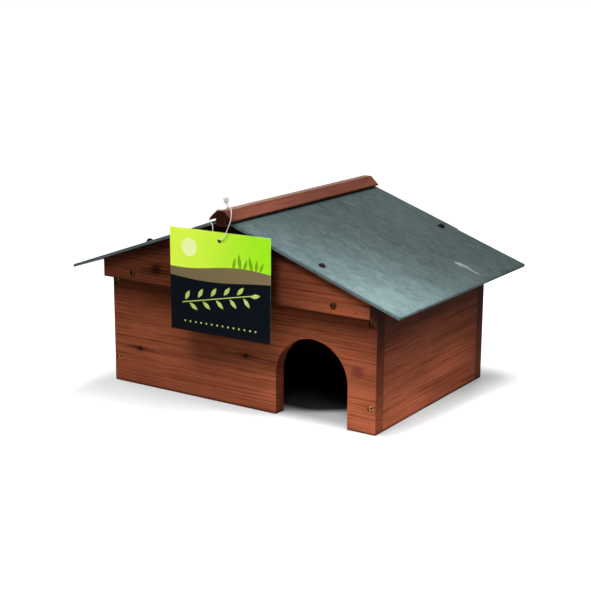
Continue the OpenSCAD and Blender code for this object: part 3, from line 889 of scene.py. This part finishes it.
def tagMaterial():
    look = tagLook
    material, tree, surface = newMaterial("printedCard")
    where = addNode(tree, "TexCoord").outputs
    hole = crownFront + Vector(look["hole"]) * millimetre
    place = addNode(tree, "Mapping", {"Vector": where["Object"], "Location": hole,
                                      "Rotation": (0, 0, look["turn"]), "Scale": [millimetre] * 3},
                    vector_type="TEXTURE").outputs[0]
    parts = splitAxes(tree, place)
    wide, high = parts["X"], parts["Z"]

    def wave(size, length, start, level):
        swing = maths(tree, "SINE", maths(tree, "MULTIPLY_ADD", wide, 2 * math.pi / length, start))
        return maths(tree, "MULTIPLY_ADD", swing, size, level)

    def leaves(rows):
        mask = 0.0
        for x, z, angle, long, broad in rows:
            leaf = addGroup(tree, leafPrint, {"Vector": place, "Place": (x, 0, z), "Length": long,
                                              "Width": broad, "Turn": math.radians(angle)})
            mask = maths(tree, "MAXIMUM", leaf["Mask"], mask)
        return mask

    base = mixColour(tree, ease(tree, wide, -85.0, 85.0), look["leftGreen"], look["rightGreen"])
    sunReach = vectorMaths(tree, "DISTANCE", place, look["sunPlace"])
    base = mixColour(tree, ease(tree, sunReach, 12.6, 13.2, 0.8, 0.0), base, look["sun"])
    base = mixColour(tree, maths(tree, "MULTIPLY", leaves(look["blades"]), 0.85), base, look["blade"])
    hill = maths(tree, "SUBTRACT", wave(4.5, 205.0, 0.4, -39.0), high)
    base = mixColour(tree, ease(tree, hill, -0.2, 0.2), base, look["tan"])
    foot = maths(tree, "SUBTRACT", wave(4.0, 250.0, -1.0, -55.0), high)
    base = mixColour(tree, ease(tree, foot, -0.2, 0.2), base, look["navy"])
    sprig = leaves([(*row, *look["sprigLeaf"]) for row in look["sprig"]])
    slope = maths(tree, "MULTIPLY_ADD", wide, 0.2, -80.5)
    stem = ease(tree, maths(tree, "ABSOLUTE", maths(tree, "SUBTRACT", slope, high)), 0.45, 0.75, 1.0, 0.0)
    middle = maths(tree, "ABSOLUTE", maths(tree, "ADD", wide, 5.0))
    stem = maths(tree, "MULTIPLY", stem, ease(tree, middle, 57.0, 58.0, 1.0, 0.0))
    along = maths(tree, "FRACT", maths(tree, "DIVIDE", wide, look["dotGap"]))
    along = maths(tree, "MULTIPLY_ADD", along, look["dotGap"], -look["dotGap"] / 2)
    aside = maths(tree, "SUBTRACT", high, look["dotLine"])
    fromDot = addNode(tree, "CombineXYZ", {"X": along, "Z": aside}).outputs[0]
    dots = ease(tree, vectorMaths(tree, "LENGTH", fromDot), 1.1, 1.5, 1.0, 0.0)
    dotsEnd = look["dotsReach"]
    row = ease(tree, maths(tree, "ABSOLUTE", wide), dotsEnd, dotsEnd + 0.5, 1.0, 0.0)
    dots = maths(tree, "MULTIPLY", dots, row)
    pale = maths(tree, "MAXIMUM", maths(tree, "MAXIMUM", sprig, stem), dots)
    base = mixColour(tree, maths(tree, "MULTIPLY", pale, 0.9), base, look["leaf"])
    face = splitAxes(tree, where["Normal"])["Y"]
    front = ease(tree, face, -0.8, -0.6, 1.0, 0.0)
    cut = ease(tree, face, 0.6, 0.8, 0.8, 0.0)  # the cut edge keeps most of the print
    pulp = stretchedNoise(tree, place, (1.2, 1.2, 1.2), 4.0)
    card = mixColour(tree, pulp, *look["card"])
    plug(tree, surface["Base Color"], mixColour(tree, maths(tree, "MAXIMUM", front, cut), card, base))
    plug(tree, surface["Roughness"], ease(tree, front, 0.0, 1.0, 0.75, 0.42))
    surface["Specular IOR Level"].default_value = 0.03
    addBump(tree, surface, pulp, 0.12, 0.0002)
    return material


dress(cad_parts["swing_tag"], tagMaterial())

# Cotton of the string and the knot
cottonLook = {"shade": colour(196, 193, 185), "light": colour(242, 240, 233),
              "soil": colour(180, 175, 163)}


def cottonMaterial():
    material, tree, surface = newMaterial("twistedCotton")
    place = addNode(tree, "TexCoord").outputs["Object"]
    fibre = stretchedNoise(tree, place, (2600, 2600, 900), 4.0, 0.6)
    soil = stretchedNoise(tree, place, (120, 120, 120), 3.0)
    base = mixColour(tree, fibre, cottonLook["shade"], cottonLook["light"])
    base = mixColour(tree, ease(tree, soil, 0.45, 0.75, 0.0, 0.35), base, cottonLook["soil"])
    plug(tree, surface["Base Color"], base)
    surface["Roughness"].default_value = 0.9
    surface["Sheen Weight"].default_value = 0.25
    addBump(tree, surface, fibre, 0.6, 0.0001)
    return material


twistedCotton = cottonMaterial()
dress(tagCord, twistedCotton)
dress(tagKnot, twistedCotton)
print("tag: dressed")

# Studio
studio = {
    "ambient": 0.05,
    "floorNear": (0.485, 0.5, 0.508, 1.0),
    "floorFar": (0.3, 0.3, 0.3, 1.0),
    # painted shade: the floor under the house is dark
    "floorInside": (0.03, 0.03, 0.03, 1.0),
    "floorGlow": 0.2,  # at the foot of the house, for the camera and reflections alone
    "floorSize": 30.0,
    "floorDrop": 0.0002,
    "house": (0.225, 0.16),  # half its width and depth
    "doorLight": (0.08, 0.18, 0.0, 0.055),  # from x to x, and how much deeper the painted shade inside starts there, where light gets in through the door
    "frontFade": 0.25,  # reach of the shade in front of the house, and beside and behind it
    "sideFade": 0.09,
    "plainLights": ("leftPanel", "backPanel"),  # these leave no sheen on the slates
    "lights": [  # name, place, aim, width, height, spread in degrees, watts
        ("keyPanel", (-0.08, -0.71, 1.13), (0.0, 0.0, 0.1), 0.45, 0.45, 180.0, 13.4),
        ("frontSpot", (0.5, -0.8, 0.85), (0.15, -0.16, 0.03), 0.3, 0.3, 40.0, 0.26),
        ("rightPanel", (0.76, -0.2, 1.05), (0.1, -0.05, 0.1), 0.45, 0.45, 180.0, 1.2),
        ("sideSpot", (0.72, -0.06, 0.5), (0.225, -0.06, 0.0), 0.25, 0.25, 30.0, 0.17),
        ("eavesSpot", (0.3, -0.3, 1.2), (0.24, -0.22, 0.15), 0.25, 0.25, 22.0, 0.76),
        ("leftPanel", (-1.05, 0.05, 0.62), (0.0, 0.0, 0.1), 0.5, 0.5, 180.0, 4.5),
        ("backPanel", (-0.1, 1.05, 0.66), (0.0, 0.0, 0.1), 0.6, 0.6, 180.0, 6.5),
    ],
}


def shownRays(tree):
    path = addNode(tree, "LightPath").outputs
    shown = maths(tree, "MAXIMUM", path["Is Camera Ray"], path["Is Glossy Ray"])
    return maths(tree, "MAXIMUM", shown, path["Is Transmission Ray"])


def makeFloor():
    bm = bmesh.new()
    bmesh.ops.create_grid(bm, x_segments=1, y_segments=1, size=studio["floorSize"])
    floor = bpy.data.objects.new("studioFloor", finishMesh(bm, "studioFloor", 30))
    floor.location.z = -studio["floorDrop"]
    scene.collection.objects.link(floor)
    material, tree, surface = newMaterial("studioFloor")
    surface["Roughness"].default_value = 1.0
    surface["Specular IOR Level"].default_value = 0.0
    surface["Emission Color"].default_value = (1.0, 1.0, 1.0, 1.0)
    place = addNode(tree, "TexCoord").outputs["Object"]
    parts = splitAxes(tree, place)
    halfWidth, halfDepth = studio["house"]
    beside = maths(tree, "SUBTRACT", maths(tree, "ABSOLUTE", parts["X"]), halfWidth)
    behind = maths(tree, "SUBTRACT", parts["Y"], halfDepth)
    before = maths(tree, "SUBTRACT", maths(tree, "MULTIPLY", parts["Y"], -1.0), halfDepth)
    around = maths(tree, "MAXIMUM", beside, behind)
    outside = maths(tree, "MAXIMUM", around, before)
    insideShadeEdge = maths(tree, "ADD", outside, ease(tree, parts["X"], *studio["doorLight"]))
    away = vectorMaths(tree, "LENGTH", place)
    base = mixColour(tree, ease(tree, away, 0.4, 0.8), studio["floorNear"], studio["floorFar"])
    # the floor under the house is painted dark as shade, except just inside the door
    base = mixColour(tree, ease(tree, insideShadeEdge, -0.05, -0.02, 1.0, 0.0), base, studio["floorInside"])
    plug(tree, surface["Base Color"], base)
    corner = addNode(tree, "CombineXYZ", {"X": maths(tree, "MAXIMUM", beside, 0.0),
                                          "Y": maths(tree, "MAXIMUM", behind, 0.0)}).outputs[0]
    sideFade = ease(tree, vectorMaths(tree, "LENGTH", corner), 0.0, studio["sideFade"])
    fade = maths(tree, "ADD", ease(tree, before, 0.0, studio["frontFade"]), sideFade, clamp=True)
    glow = maths(tree, "MULTIPLY_ADD", fade, 1.0 - studio["floorGlow"], studio["floorGlow"])
    bare = maths(tree, "MAXIMUM", ease(tree, before, -0.03, 0.0),
                 maths(tree, "GREATER_THAN", around, 0.0))  # no glow under the house
    glow = maths(tree, "MULTIPLY", glow, bare)
    plug(tree, surface["Emission Strength"], maths(tree, "MULTIPLY", shownRays(tree), glow))
    dress(floor, material)


def makeWorld():
    world = bpy.data.worlds.new("studioWorld")
    world.use_nodes = True
    scene.world = world
    tree = world.node_tree
    strength = maths(tree, "MULTIPLY_ADD", shownRays(tree), 1.0 - studio["ambient"], studio["ambient"])
    sky = tree.nodes["Background"].inputs
    sky["Color"].default_value = (1.0, 1.0, 1.0, 1.0)
    plug(tree, sky["Strength"], strength)


def makeLights():
    for name, place, aim, width, height, spread, watts in studio["lights"]:
        data = bpy.data.lights.new(name, "AREA")
        data.shape = "RECTANGLE"
        data.size = width
        data.size_y = height
        data.spread = math.radians(spread)
        data.energy = watts
        light = bpy.data.objects.new(name, data)
        light.location = place
        light.rotation_euler = (Vector(aim) - Vector(place)).to_track_quat("-Z", "Y").to_euler()
        light.visible_camera = False
        light.visible_glossy = name not in studio["plainLights"]
        scene.collection.objects.link(light)


makeFloor()
makeWorld()
makeLights()
print("studio: made")
